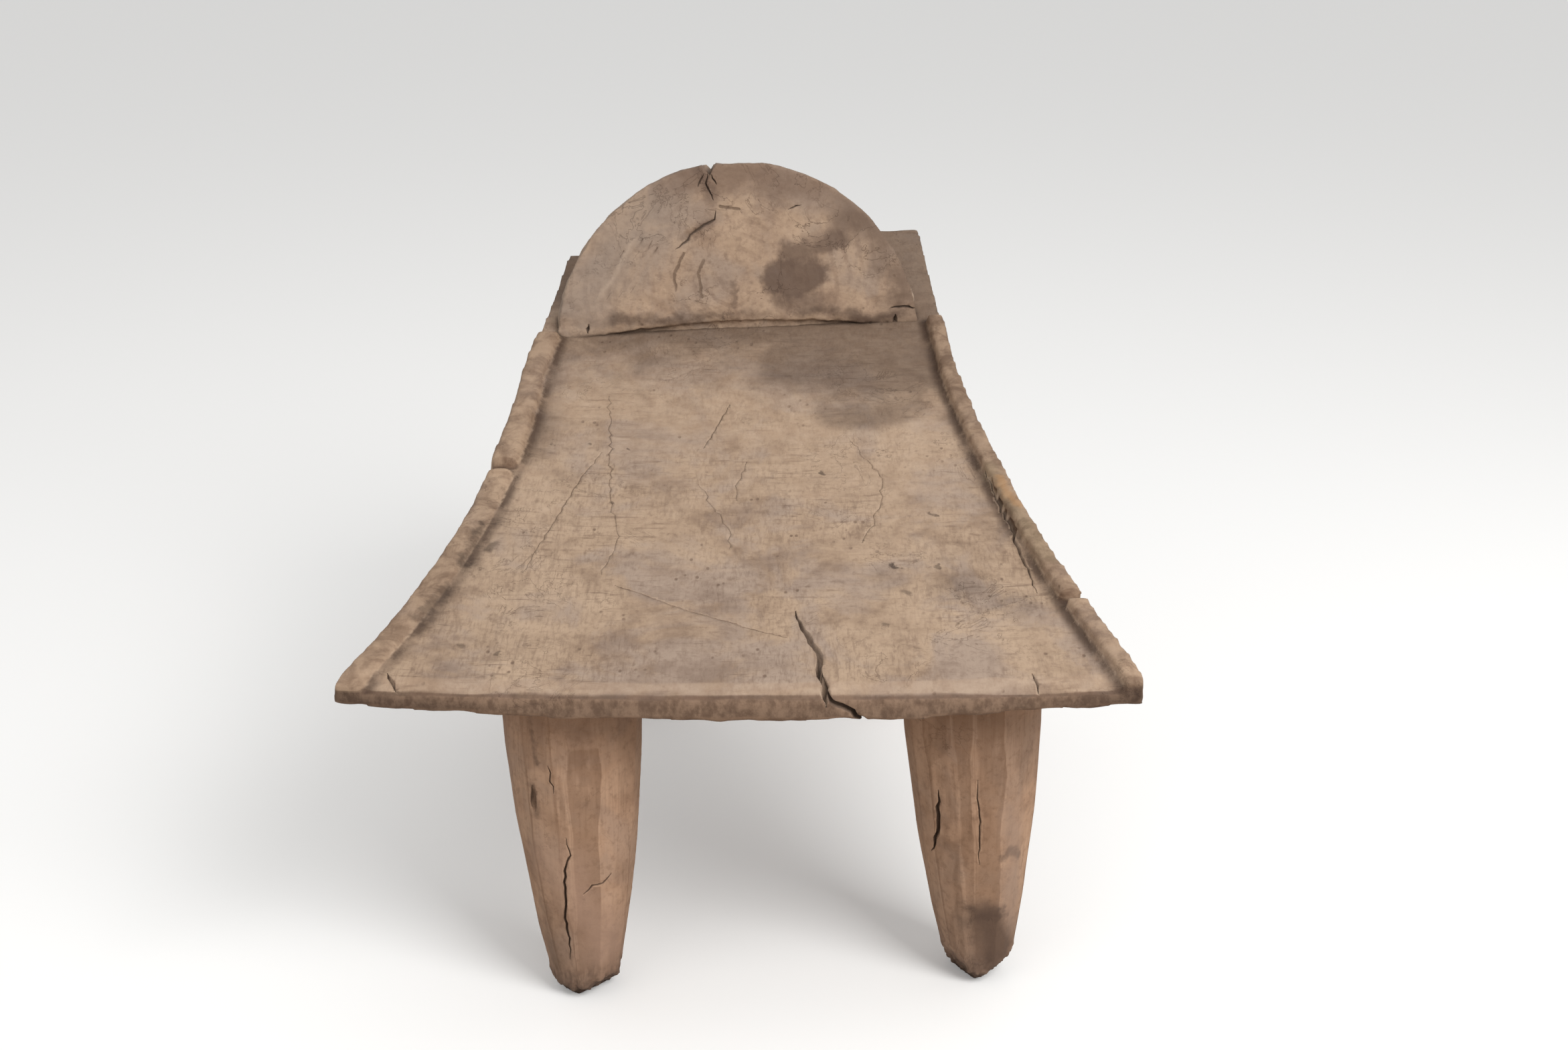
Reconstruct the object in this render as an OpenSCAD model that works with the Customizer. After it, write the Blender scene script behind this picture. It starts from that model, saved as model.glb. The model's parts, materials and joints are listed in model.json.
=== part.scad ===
// A low headrest chair carved from one block of wood: a scooped board that widens towards its
// front edge, bead rims along its long edges, an upright half-disc headrest and four fat legs.
// The origin is on the ground under the middle of the board. The front edge faces -Y.

/* [Board] */
// Length of the board along its middle, from the front edge to the tail end
board_length = 682; // [610:2:820]
// Width across the front edge
front_width = 578; // [480:2:700]
// Distance from the front edge to the waist, where the flare ends
waist_y = 456; // [380:2:500]
// Distance from the middle line to the left edge at the waist
left_waist = 201; // [185:1:235]
// Distance from the middle line to the right edge at the waist
right_waist = 187; // [183:1:235]
// Distance from the middle line to the left end of the tail
left_tail = 176; // [170:1:220]
// Distance from the middle line to the right end of the tail
right_tail = 164; // [164:1:220]
// How far the left flare bows inwards from a straight line
left_bow = 19; // [0:0.5:24]
// How far the right flare bows inwards from a straight line
right_bow = 8; // [0:0.5:24]
// How far the right end of the tail stands behind its left end
tail_skew = 46; // [0:1:60]
// How far the front corners stand ahead of the middle of the front edge
front_bow = 3; // [0:0.5:12]
// Thickness of the board along its middle
board_t = 21.5; // [18:0.5:32]
// Height of the top of the front edge above the ground, at its middle
front_height = 274.5; // [230:0.5:340]
// Slope of the board at the front edge
front_slope = 8.25; // [4:0.25:11]
// Radius of the long sweep from the front edge up to the tail
sweep_r = 3300; // [2700:10:4000]
// Radius of the shallow scoop across the top
scoop_r = 5500; // [4500:50:9000]
// Radius of the belly across the underside
belly_r = 2800; // [2300:50:4500]

/* [Rims] */
// Height of the rims above the board
rim_h = 10; // [5:0.5:16]
// Width of the broad left rim
left_rim_w = 21; // [14:0.5:32]
// Width of the narrow right rim
right_rim_w = 15; // [9:0.5:24]
// Distance from the front edge to the break in the right rim
right_break_y = 110; // [60:1:180]
// Distance from the front edge to the step in the left rim
left_break_y = 306; // [200:1:380]
// Length of rim missing at each break
break_l = 8; // [3:0.5:20]

/* [Headrest] */
// Radius of the half disc
disc_r = 167; // [130:1:176]
// Height of the disc's flattened top above the crease at its foot
disc_top = 155; // [110:1:166]
// Thickness of the headrest
disc_t = 32; // [20:0.5:44]
// Distance from the front edge to the middle of the disc's foot
disc_y = 536; // [440:1:575]
// How far the disc's middle stands left of the board's middle line
disc_shift = 9; // [0:1:16]
// Backward lean of the headrest
disc_lean = 10; // [0:0.5:18]
// Turn of the headrest, its right side further back
disc_yaw = 4.5; // [0:0.5:7]
// Height of the arched undercut at its middle
undercut_h = 16; // [8:0.5:24]
// Depth of the arched undercut into the headrest
undercut_d = 12; // [5:0.5:14]
// Radius of the arch over the undercut
undercut_r = 980; // [800:10:1600]
// Width of each corner foot under the headrest
disc_foot_w = 22; // [12:0.5:34]
// Height of each corner foot
disc_foot_h = 38; // [28:0.5:46]

/* [Legs] */
// Diameter of a leg just under the board
leg_d = 110; // [80:1:130]
// Diameter of a leg at the ground, before its tip is worn round
tip_d = 49; // [40:1:70]
// Diameter of the flat that a leg stands on
flat_d = 30; // [20:1:32]
// Height over which a tip is worn round
tip_h = 11; // [4:0.5:16]
// Distance from the front edge to the top of each front leg's axis
front_leg_y = 98; // [80:1:140]
// Distance from the front edge to the top of each rear leg's axis
rear_leg_y = 596; // [560:1:612]

/* [Hidden] */

// [x at the top, x at the ground, how far the ground end stands ahead of the top]
front_left_place = [-130, -121, 36];
front_right_place = [172, 185, 14];
rear_left_place = [-112, -118, -6];
rear_right_place = [102, 110, -6];

front_y = -(board_length + tail_skew / 2 - front_bow) / 2;

// The sweep is an arc about an axis across the board, above and ahead of the front edge
axis_y = front_y - sweep_r * sin(front_slope);
axis_z = front_height + sweep_r * cos(front_slope);
reach = front_width + 80;
sweep_fn = 720;
leg_fn = 96;

// Slope of the board where the headrest stands, and the tilt that it gives the turned crease
crease_slope = asin((front_y + disc_y - axis_y) / sweep_r);
crease_tilt = atan(tan(crease_slope) * tan(disc_yaw));

body_wood = "#b09a82";
edge_wood = "#9c8268";
panel_wood = "#a88f76";
leg_wood = "#a08068";

// Points of one long edge, moved in by inset: a bowed flare, then a straight run to the tail
function edge_points(side, inset, steps = 16) =
    let (waist = side > 0 ? right_waist : left_waist, tail = side > 0 ? right_tail : left_tail,
         bow = side > 0 ? right_bow : left_bow, flare_l = waist_y + front_bow)
    concat([for (i = [0 : steps]) let (t = i / steps)
        [side * (front_width / 2 * (1 - t) + waist * t - 4 * bow * t * (1 - t) - inset),
         front_y - front_bow + flare_l * t]],
        [[side * (tail - inset), front_y + board_length + side * tail_skew / 2]]);
function reversed(points) = [for (i = [len(points) - 1 : -1 : 0]) points[i]];
function front_points(steps = 8) = [for (i = [1 : steps - 1])
    [front_width * (i / steps - 0.5), front_y - front_bow * pow(2 * i / steps - 1, 2)]];

module board_outline()
    polygon(concat(front_points(), edge_points(1, 0), reversed(edge_points(-1, 0))));

// Solid of revolution about the sweep's axis; across the board its radius shrinks along an arc,
// so the surface is lowest along the middle line. Everything inside it lies above that surface.
module sweep_space(radius, across, steps = 20)
    translate([0, axis_y, axis_z]) rotate([0, 90, 0])
        rotate_extrude($fn = sweep_fn) polygon(concat(
            [for (i = [0 : steps]) let (x = reach * (i / steps - 0.5))
                [radius - across + sqrt(pow(across, 2) - pow(x, 2)), x]],
            [[0, reach / 2], [0, -reach / 2]]));

module above_board() sweep_space(sweep_r, scoop_r);
module above_underside() sweep_space(sweep_r + board_t, belly_r);
module above_rims() sweep_space(sweep_r - rim_h, scoop_r);

module column() linear_extrude(2 * front_height + board_length) children();

module seat_board() color(body_wood) difference() {
    intersection() {
        column() board_outline();
        above_underside();
    }
    above_board();
}

// Strip along one long edge, between two distances from the front edge
module edge_strip(side, width, from_y, to_y)
    intersection() {
        polygon(concat(edge_points(side, 0), reversed(edge_points(side, width))));
        translate([-front_width, front_y + from_y]) square([2 * front_width, to_y - from_y]);
    }

module rim(side, width, from_y, to_y) color(edge_wood)
    difference() {
        intersection() {
            column() edge_strip(side, width, from_y, to_y);
            above_board();
        }
        above_rims();
    }

module left_front_rim() rim(-1, left_rim_w, -front_bow, left_break_y - break_l / 2);
module left_rear_rim() rim(-1, left_rim_w, left_break_y + break_l / 2, disc_y - disc_side_y(-1));
module right_front_rim() rim(1, right_rim_w, -front_bow, right_break_y - break_l / 2);
module right_rear_rim() rim(1, right_rim_w, right_break_y + break_l / 2, disc_y - disc_side_y(1));

// How far ahead of the disc's middle its face passes the end of a rim
function disc_side_y(side) = 4 - side * disc_r * sin(disc_yaw);

// Height of the board's top at a distance behind the front edge, on the middle line
function board_z(y) = axis_z - sqrt(pow(sweep_r, 2) - pow(front_y + y - axis_y, 2));

// Frame of the headrest: X along its width, Y up its face, Z towards the front
module headrest_frame()
    translate([-disc_shift, front_y + disc_y, board_z(disc_y)])
        rotate([0, 0, disc_yaw]) rotate([90 - disc_lean, 0, 0]) children();

module disc_blank() headrest_frame() translate([0, 0, -disc_t]) intersection() {
    translate([0, disc_top - disc_r, 0]) cylinder(h = disc_t, r = disc_r, $fn = 180);
    translate([-disc_r, -disc_r, 0]) cube([2 * disc_r, disc_r + disc_top - 2, disc_t]);
}

// The same frame, tilted so that X runs along the crease between headrest and board
module crease_frame() headrest_frame() rotate([0, 0, crease_tilt]) children();

// Block under one end of the headrest, down to the board
module foot_space(side) crease_frame()
    translate([side > 0 ? disc_r - disc_foot_w : -disc_r - disc_foot_w, -disc_r, -disc_t - 1])
        cube([2 * disc_foot_w, disc_r + disc_foot_h, disc_t + 2]);

module undercut() crease_frame() intersection() {
    translate([0, undercut_h - undercut_r, -undercut_d])
        cylinder(h = undercut_d + 1, r = undercut_r, $fn = 720);
    translate([disc_foot_w - disc_r, -disc_r, -undercut_d])
        cube([2 * (disc_r - disc_foot_w), 2 * disc_r, undercut_d + 1]);
}

module headrest_panel() color(panel_wood) difference() {
    intersection() {
        disc_blank();
        above_board();
    }
    undercut();
    foot_space(-1);
    foot_space(1);
}

module headrest_foot(side) color(edge_wood) intersection() {
    disc_blank();
    foot_space(side);
    above_board();
}

module headrest_left_foot() headrest_foot(-1);
module headrest_right_foot() headrest_foot(1);

// Radius of a leg at a height: widest under the board, narrowing ever faster to its tip
function leg_radius(z, top) = leg_d / 2 - (leg_d - tip_d) / 2 * pow((top - z) / top, 2);

// A leg leans from its place on the ground to its place under the board
module leg(place, top_y) color(leg_wood) {
    top = board_z(top_y);
    ground = [place[1], front_y + top_y - place[2], 0];
    run = [place[0] - place[1], place[2], top];
    lean = acos(top / norm(run));
    steps = 8;
    side_points = [for (i = [0 : steps]) let (z = tip_h + (norm(run) - tip_h) * i / steps)
        [leg_radius(z, norm(run)), z]];
    difference() {
        translate(ground) rotate([0, 0, atan2(run[1], run[0])]) rotate([0, lean, 0])
            rotate_extrude($fn = leg_fn) polygon(concat(
                [[0, -tip_h], [flat_d / 2, -tip_h], [flat_d / 2, 0]], side_points,
                [[0, norm(run)]]));
        above_underside();
        translate([-front_width, -board_length, -4 * tip_h])
            cube([2 * front_width, 2 * board_length, 4 * tip_h]);
    }
}

module front_left_leg() leg(front_left_place, front_leg_y);
module front_right_leg() leg(front_right_place, front_leg_y);
module rear_left_leg() leg(rear_left_place, rear_leg_y);
module rear_right_leg() leg(rear_right_place, rear_leg_y);

seat_board();
left_rear_rim();
left_front_rim();
right_rear_rim();
right_front_rim();
headrest_panel();
headrest_left_foot();
headrest_right_foot();
front_left_leg();
front_right_leg();
rear_left_leg();
rear_right_leg();
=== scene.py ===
import json
import math
import random
import bmesh
import bpy
import numpy
from mathutils import Euler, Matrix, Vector


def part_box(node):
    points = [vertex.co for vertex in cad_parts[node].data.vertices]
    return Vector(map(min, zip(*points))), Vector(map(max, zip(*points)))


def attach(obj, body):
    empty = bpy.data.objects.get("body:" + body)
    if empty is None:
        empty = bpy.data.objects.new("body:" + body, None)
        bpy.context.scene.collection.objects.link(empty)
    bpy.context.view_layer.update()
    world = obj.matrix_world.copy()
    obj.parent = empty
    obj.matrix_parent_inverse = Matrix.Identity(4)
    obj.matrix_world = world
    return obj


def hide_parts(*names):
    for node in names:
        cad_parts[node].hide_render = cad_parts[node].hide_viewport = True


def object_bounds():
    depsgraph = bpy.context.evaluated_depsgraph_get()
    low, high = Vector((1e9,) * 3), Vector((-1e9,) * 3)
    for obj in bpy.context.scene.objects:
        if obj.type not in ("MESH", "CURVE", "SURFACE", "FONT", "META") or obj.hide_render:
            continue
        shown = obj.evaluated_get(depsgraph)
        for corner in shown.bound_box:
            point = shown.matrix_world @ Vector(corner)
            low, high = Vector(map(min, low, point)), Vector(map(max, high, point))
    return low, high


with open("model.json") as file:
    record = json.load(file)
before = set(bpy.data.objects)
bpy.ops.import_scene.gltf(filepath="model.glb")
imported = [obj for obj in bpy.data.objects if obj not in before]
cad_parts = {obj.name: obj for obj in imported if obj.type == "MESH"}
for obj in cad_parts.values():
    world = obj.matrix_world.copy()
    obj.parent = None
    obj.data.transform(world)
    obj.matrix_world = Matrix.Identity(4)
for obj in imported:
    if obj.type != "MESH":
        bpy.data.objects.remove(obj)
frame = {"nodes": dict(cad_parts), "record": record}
cadLow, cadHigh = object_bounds()
print("frame loaded:", len(frame["nodes"]), "nodes")

# ---------- camera, floor and lamps ----------
view = {
    "lens": 50,
    "ahead": 1.4095,      # from the front edge to the camera
    "aside": 0.0323,
    "height": 0.91,
    "tilt": 19.77,        # looking down, degrees
}
light = {
    "key": {"place": (1.35, -1.65, 1.95), "size": 1.3, "power": 50},
    "fill": {"place": (-1.7, -2.0, 1.0), "size": 2.0, "power": 7},
    "top": {"place": (-0.2, 0.6, 2.6), "size": 2.4, "power": 7},
    "sky": 0.60,
    "floor": (0.50, 0.49, 0.475, 1),
    "floorSeen": (0.90, 0.895, 0.88, 1),
    "floorGlow": 0.12,        # only for the camera, so that the far floor stays pale
}


def linear(red, green, blue):
    # a colour as a paint chart gives it, 0 to 255, made linear
    return tuple(((c / 255 + 0.055) / 1.055) ** 2.4 for c in (red, green, blue)) + (1,)


def addCamera():
    data = bpy.data.cameras.new("camera")
    data.lens = view["lens"]
    data.sensor_width = 36
    camera = bpy.data.objects.new("camera", data)
    camera.location = (view["aside"], cadLow.y - view["ahead"], view["height"])
    camera.rotation_euler = (math.radians(90 - view["tilt"]), 0, 0)
    bpy.context.scene.collection.objects.link(camera)
    bpy.context.scene.camera = camera


def addLamp(name):
    values = light[name]
    data = bpy.data.lights.new(name, "AREA")
    data.size = values["size"]
    data.energy = values["power"]
    lamp = bpy.data.objects.new(name, data)
    lamp.location = values["place"]
    aim = Vector((0, 0, 0.25)) - lamp.location
    lamp.rotation_euler = aim.to_track_quat("-Z", "Y").to_euler()
    bpy.context.scene.collection.objects.link(lamp)


def addFloor():
    bpy.ops.mesh.primitive_plane_add(size=60)
    floor = bpy.context.object
    floor.name = "floor"
    paint = bpy.data.materials.new("floorPaint")
    paint.use_nodes = True
    shader = paint.node_tree.nodes["Principled BSDF"]
    rays = paint.node_tree.nodes.new("ShaderNodeLightPath")
    feed(paint.node_tree, shader.inputs["Base Color"],
         blendColour(paint.node_tree, rays.outputs["Is Camera Ray"], light["floor"], light["floorSeen"]))
    shader.inputs["Roughness"].default_value = 0.9
    shader.inputs["Emission Color"].default_value = (1, 1, 1, 1)
    feed(paint.node_tree, shader.inputs["Emission Strength"],
         calc(paint.node_tree, "MULTIPLY", rays.outputs["Is Camera Ray"], light["floorGlow"]))
    floor.data.materials.append(paint)


def addSky():
    world = bpy.data.worlds.new("sky")
    world.use_nodes = True
    world.node_tree.nodes["Background"].inputs["Strength"].default_value = light["sky"]
    world.node_tree.nodes["Background"].inputs["Color"].default_value = (1, 1, 1, 1)
    bpy.context.scene.world = world
    bpy.context.scene.view_settings.view_transform = "Standard"




# ---------- carving tools ----------
def pickUp(piece):
    if bpy.context.object and bpy.context.object.mode != "OBJECT":
        bpy.ops.object.mode_set(mode="OBJECT")
    bpy.ops.object.select_all(action="DESELECT")
    piece.select_set(True)
    bpy.context.view_layer.objects.active = piece


def finish(piece, kind, **settings):
    pickUp(piece)
    modifier = piece.modifiers.new(kind, kind)
    for key, value in settings.items():
        setattr(modifier, key, value)
    bpy.ops.object.modifier_apply(modifier=modifier.name)


def blankFrom(node, name):
    # the frame's own solid, merged, is the block that a piece is carved from
    piece = bpy.data.objects.new(name, frame["nodes"][node].data.copy())
    piece.data.materials.clear()
    bpy.context.scene.collection.objects.link(piece)
    pickUp(piece)
    bpy.ops.object.mode_set(mode="EDIT")
    bpy.ops.mesh.select_all(action="SELECT")
    bpy.ops.mesh.remove_doubles(threshold=0.00002)
    bpy.ops.mesh.select_all(action="DESELECT")
    bpy.ops.object.mode_set(mode="OBJECT")
    return piece


def selectFaces(piece, wanted):
    # leaves edit mode on, with the faces chosen by place and normal
    pickUp(piece)
    bpy.ops.object.mode_set(mode="EDIT")
    bpy.ops.mesh.select_mode(type="FACE")
    bpy.ops.mesh.select_all(action="DESELECT")
    mesh = bmesh.from_edit_mesh(piece.data)
    for face in mesh.faces:
        if wanted(face.calc_center_median(), face.normal):
            face.select_set(True)
    bmesh.update_edit_mesh(piece.data)


def sinkFaces(piece, wanted, move):
    # faces that meet a neighbour run a little way into it
    selectFaces(piece, wanted)
    bpy.ops.mesh.extrude_region_move(TRANSFORM_OT_translate={"value": move})
    bpy.ops.object.mode_set(mode="OBJECT")


def bevelEdges(piece, wanted, width, segments=2):
    pickUp(piece)
    bpy.ops.object.mode_set(mode="EDIT")
    bpy.ops.mesh.select_mode(type="EDGE")
    bpy.ops.mesh.select_all(action="DESELECT")
    mesh = bmesh.from_edit_mesh(piece.data)
    for edge in mesh.edges:
        if len(edge.link_faces) == 2 and edge.calc_face_angle() > math.radians(40):
            if wanted((edge.verts[0].co + edge.verts[1].co) / 2):
                edge.select_set(True)
    bmesh.update_edit_mesh(piece.data)
    bpy.ops.mesh.bevel(offset=width, segments=segments, affect="EDGES", clamp_overlap=True)
    bpy.ops.object.mode_set(mode="OBJECT")


def remesh(piece, voxel):
    finish(piece, "REMESH", mode="VOXEL", voxel_size=voxel)


def wearRound(piece, rounds, group=""):
    finish(piece, "SMOOTH", factor=0.5, iterations=rounds, vertex_group=group)


def weigh(piece, name, rule):
    # rule gives a vertex its weight from 0 to 1
    group = piece.vertex_groups.new(name=name)
    for vertex in piece.data.vertices:
        weight = rule(vertex)
        if weight > 0.01:
            group.add([vertex.index], min(weight, 1), "REPLACE")
    return name


def ramp(value, low, high):
    share = max(0, min(1, (value - low) / (high - low)))
    return share * share * (3 - 2 * share)


def roughen(piece, size, height, stretch=(1, 1, 1), group="", kind="CLOUDS", shift=0):
    # uneven surface left by tools and age; stretch lengthens the marks along an axis
    texture = bpy.data.textures.new("unevenness", kind)
    texture.noise_scale = size
    holder = bpy.data.objects.new("holder", None)
    holder.scale = stretch
    holder.location = (shift, shift, shift)
    bpy.context.scene.collection.objects.link(holder)
    bpy.context.view_layer.update()
    finish(piece, "DISPLACE", texture=texture, texture_coords="OBJECT",
           texture_coords_object=holder, strength=height, mid_level=0.5, vertex_group=group)
    bpy.data.objects.remove(holder)
    bpy.data.textures.remove(texture)


def lower(piece, depth, group):
    finish(piece, "DISPLACE", direction="Z", strength=-depth, mid_level=0, vertex_group=group)


def noteValue(piece, name, values):
    # a value at each vertex, for the material to read
    layer = piece.data.attributes.new(name, "FLOAT", "POINT")
    layer.data.foreach_set("value", values)


def onto(piece, point, towards):
    # where a line through point, running towards, meets the piece
    found, place, normal, index = piece.ray_cast(Vector(point) - towards * 0.6, towards)
    return place if found else Vector(point)


def jagged(route, step, wobble, seed):
    # a split wanders between the points that it is given
    shake = random.Random(seed)
    points = [Vector(route[0])]
    for start, end in zip(route, route[1:]):
        start, end = Vector(start), Vector(end)
        count = max(1, round((end - start).length / step))
        for i in range(1, count + 1):
            drift = Vector([shake.uniform(-wobble, wobble) for axis in range(3)])
            points.append(start.lerp(end, i / count) + drift * (i < count))
    return points


def split(piece, route, towards, width, depth, step=0.005, wobble=0.0012, seed=1,
          ends="closed", dropped=True):
    # the shape of a wedge along a route; ends are closed, openLast or open
    towards = Vector(towards).normalized()
    points = jagged(route, step, wobble, seed)
    if dropped:
        points = [onto(piece, point, towards) for point in points]
    last = len(points) - 1
    lift = 0.003
    corners, faces = [], []
    for i, point in enumerate(points):
        along = (points[min(i + 1, last)] - points[max(i - 1, 0)]).normalized()
        side = along.cross(towards).normalized()
        taper = 1 if ends == "open" else min(1, 0.12 + 3.0 * i / last)
        if ends == "closed":
            taper = min(taper, 0.12 + 3.0 * (last - i) / last)
        deep = depth * (0.35 + 0.65 * taper)
        reach = side * width * taper / 2 * (1 + lift / deep)
        corners += [point - towards * lift + reach, point - towards * lift - reach,
                    point + towards * deep]
        if i:
            a = 3 * i
            faces += [(a - 3, a - 2, a + 1, a), (a - 2, a - 1, a + 2, a + 1), (a - 1, a - 3, a, a + 2)]
    faces += [(0, 1, 2), (3 * last, 3 * last + 2, 3 * last + 1)]
    mesh = bpy.data.meshes.new("blade")
    mesh.from_pydata(corners, [], faces)
    blade = bpy.data.objects.new("blade", mesh)
    bpy.context.scene.collection.objects.link(blade)
    pickUp(blade)
    bpy.ops.object.mode_set(mode="EDIT")
    bpy.ops.mesh.select_all(action="SELECT")
    bpy.ops.mesh.normals_make_consistent(inside=False)
    bpy.ops.object.mode_set(mode="OBJECT")
    return blade


def chip(place, radius, squash=(1, 1, 1)):
    # the shape of a lump to knock out
    bpy.ops.object.select_all(action="DESELECT")
    bpy.ops.mesh.primitive_ico_sphere_add(subdivisions=3, radius=radius, location=place)
    tool = bpy.context.object
    tool.scale = squash
    bpy.ops.object.transform_apply(location=True, rotation=True, scale=True)
    roughen(tool, radius * 0.7, radius * 0.4)
    return tool


def cutAway(piece, *rounds):
    # the cutters of one round don't touch each other, and work as one
    for tools in rounds:
        joinInto(tools[0], tools[1:])
        finish(piece, "BOOLEAN", operation="DIFFERENCE", object=tools[0], solver="EXACT")
        bpy.data.objects.remove(tools[0])


def joinInto(piece, others):
    if not others:
        return
    pickUp(piece)
    for other in others:
        other.select_set(True)
    bpy.ops.object.join()


def complete(piece, nodes, material):
    pickUp(piece)
    bpy.ops.object.shade_smooth()
    piece.vertex_groups.clear()
    piece.data.materials.append(material)
    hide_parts(*nodes)
    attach(piece, "root")
    print(piece.name, "done:", len(piece.data.polygons), "faces")


# ---------- shader groups ----------
def addNode(tree, kind, **inputs):
    node = tree.nodes.new(kind)
    for name, value in inputs.items():
        feed(tree, node.inputs[name.replace("_", " ")], value)
    return node


def feed(tree, socket, value):
    if isinstance(value, bpy.types.NodeSocket):
        tree.links.new(value, socket)
    elif value is not None:
        socket.default_value = value


def calc(tree, operation, first, second=None, third=None, clamp=False):
    node = tree.nodes.new("ShaderNodeMath")
    node.operation = operation
    node.use_clamp = clamp
    for socket, value in zip(node.inputs, (first, second, third)):
        feed(tree, socket, value)
    return node.outputs[0]


def vectorCalc(tree, operation, first, second=None):
    node = tree.nodes.new("ShaderNodeVectorMath")
    node.operation = operation
    feed(tree, node.inputs[0], first)
    feed(tree, node.inputs[1], second)
    return node.outputs["Value"] if operation in ("DOT_PRODUCT", "LENGTH") else node.outputs["Vector"]


def scaleVector(tree, vector, factor):
    node = tree.nodes.new("ShaderNodeVectorMath")
    node.operation = "SCALE"
    feed(tree, node.inputs[0], vector)
    feed(tree, node.inputs["Scale"], factor)
    return node.outputs["Vector"]


def blendColour(tree, amount, first, second, mode="MIX"):
    node = tree.nodes.new("ShaderNodeMix")
    node.data_type = "RGBA"
    node.blend_type = mode
    feed(tree, node.inputs["Factor"], amount)
    for socket in node.inputs:
        if socket.type == "RGBA" and socket.name == "A":
            feed(tree, socket, first)
        if socket.type == "RGBA" and socket.name == "B":
            feed(tree, socket, second)
    return [socket for socket in node.outputs if socket.type == "RGBA"][0]


def spread(tree, value, low, high, bottom=0.0, top=1.0):
    # stretches a value between low and high, with soft ends
    node = tree.nodes.new("ShaderNodeMapRange")
    node.interpolation_type = "SMOOTHSTEP"
    for name, number in (("From Min", low), ("From Max", high), ("To Min", bottom), ("To Max", top)):
        feed(tree, node.inputs[name], number)
    feed(tree, node.inputs["Value"], value)
    return node.outputs["Result"]


def noise(tree, vector, scale, detail=3, roughness=0.55, distortion=0.0):
    node = addNode(tree, "ShaderNodeTexNoise", Vector=vector, Scale=scale, Detail=detail,
                   Roughness=roughness, Distortion=distortion)
    return node.outputs["Fac"]


def newGroup(name, inputs, outputs):
    tree = bpy.data.node_groups.new(name, "ShaderNodeTree")
    for label, kind, value in inputs:
        socket = tree.interface.new_socket(label, in_out="INPUT", socket_type=kind)
        if value is not None:
            socket.default_value = value
    for label, kind in outputs:
        tree.interface.new_socket(label, in_out="OUTPUT", socket_type=kind)
    return tree, tree.nodes.new("NodeGroupInput"), tree.nodes.new("NodeGroupOutput")


def buildMark():
    # a stain, scratch, spot or painted shadow line: everything within a width of the line between two points
    tree, given, result = newGroup("mark", [
        ("Place", "NodeSocketVector", None), ("Drift", "NodeSocketVector", None),
        ("Start", "NodeSocketVector", None), ("End", "NodeSocketVector", None),
        ("Width", "NodeSocketFloat", 0.01), ("Soft", "NodeSocketFloat", 0.5),
        ("Wobble", "NodeSocketFloat", 0.002)], [("Mask", "NodeSocketFloat")])
    start = given.outputs["Start"]
    moved = vectorCalc(tree, "ADD", given.outputs["Place"],
                       scaleVector(tree, given.outputs["Drift"], given.outputs["Wobble"]))
    whole = vectorCalc(tree, "SUBTRACT", given.outputs["End"], start)
    part = vectorCalc(tree, "SUBTRACT", moved, start)
    share = calc(tree, "DIVIDE", vectorCalc(tree, "DOT_PRODUCT", part, whole),
                 vectorCalc(tree, "DOT_PRODUCT", whole, whole), clamp=True)
    away = vectorCalc(tree, "LENGTH", vectorCalc(tree, "SUBTRACT", part, scaleVector(tree, whole, share)))
    inner = calc(tree, "MULTIPLY", given.outputs["Width"],
                 calc(tree, "SUBTRACT", 1.0, given.outputs["Soft"]))
    feed(tree, result.inputs["Mask"], spread(tree, away, inner, given.outputs["Width"], 1.0, 0.0))
    return tree


def buildFacing():
    # how far a surface faces one way
    tree, given, result = newGroup("facing", [
        ("Normal", "NodeSocketVector", None), ("Direction", "NodeSocketVector", (0, 0, 1)),
        ("Low", "NodeSocketFloat", 0.3), ("High", "NodeSocketFloat", 0.8)],
        [("Mask", "NodeSocketFloat")])
    turn = vectorCalc(tree, "DOT_PRODUCT", given.outputs["Normal"], given.outputs["Direction"])
    feed(tree, result.inputs["Mask"], spread(tree, turn, given.outputs["Low"], given.outputs["High"]))
    return tree


def buildWear():
    # pale rubbed edges, and painted shade in corners and creases, from ambient occlusion
    tree, given, result = newGroup("wearAndShade", [
        ("Place", "NodeSocketVector", None), ("Edge Low", "NodeSocketFloat", 0.52),
        ("Edge High", "NodeSocketFloat", 0.62), ("Corner Reach", "NodeSocketFloat", 0.012)],
        [("Edges", "NodeSocketFloat"), ("Corner Shade", "NodeSocketFloat")])
    shape = tree.nodes.new("ShaderNodeNewGeometry")
    patchy = noise(tree, given.outputs["Place"], 70.0, 4)
    edge = spread(tree, shape.outputs["Pointiness"], given.outputs["Edge Low"],
                  given.outputs["Edge High"])
    feed(tree, result.inputs["Edges"],
         calc(tree, "MULTIPLY", edge, spread(tree, patchy, 0.35, 0.62), clamp=True))
    # ambient occlusion, for painted shade in corners and creases
    shade = tree.nodes.new("ShaderNodeAmbientOcclusion")
    shade.samples = 8
    feed(tree, shade.inputs["Distance"], given.outputs["Corner Reach"])
    hollowShade = spread(tree, shade.outputs["AO"], 0.45, 0.95, 1.0, 0.0)
    feed(tree, result.inputs["Corner Shade"],
         calc(tree, "MULTIPLY", hollowShade, spread(tree, patchy, 0.2, 0.5, 0.55, 1.0), clamp=True))
    return tree


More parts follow.
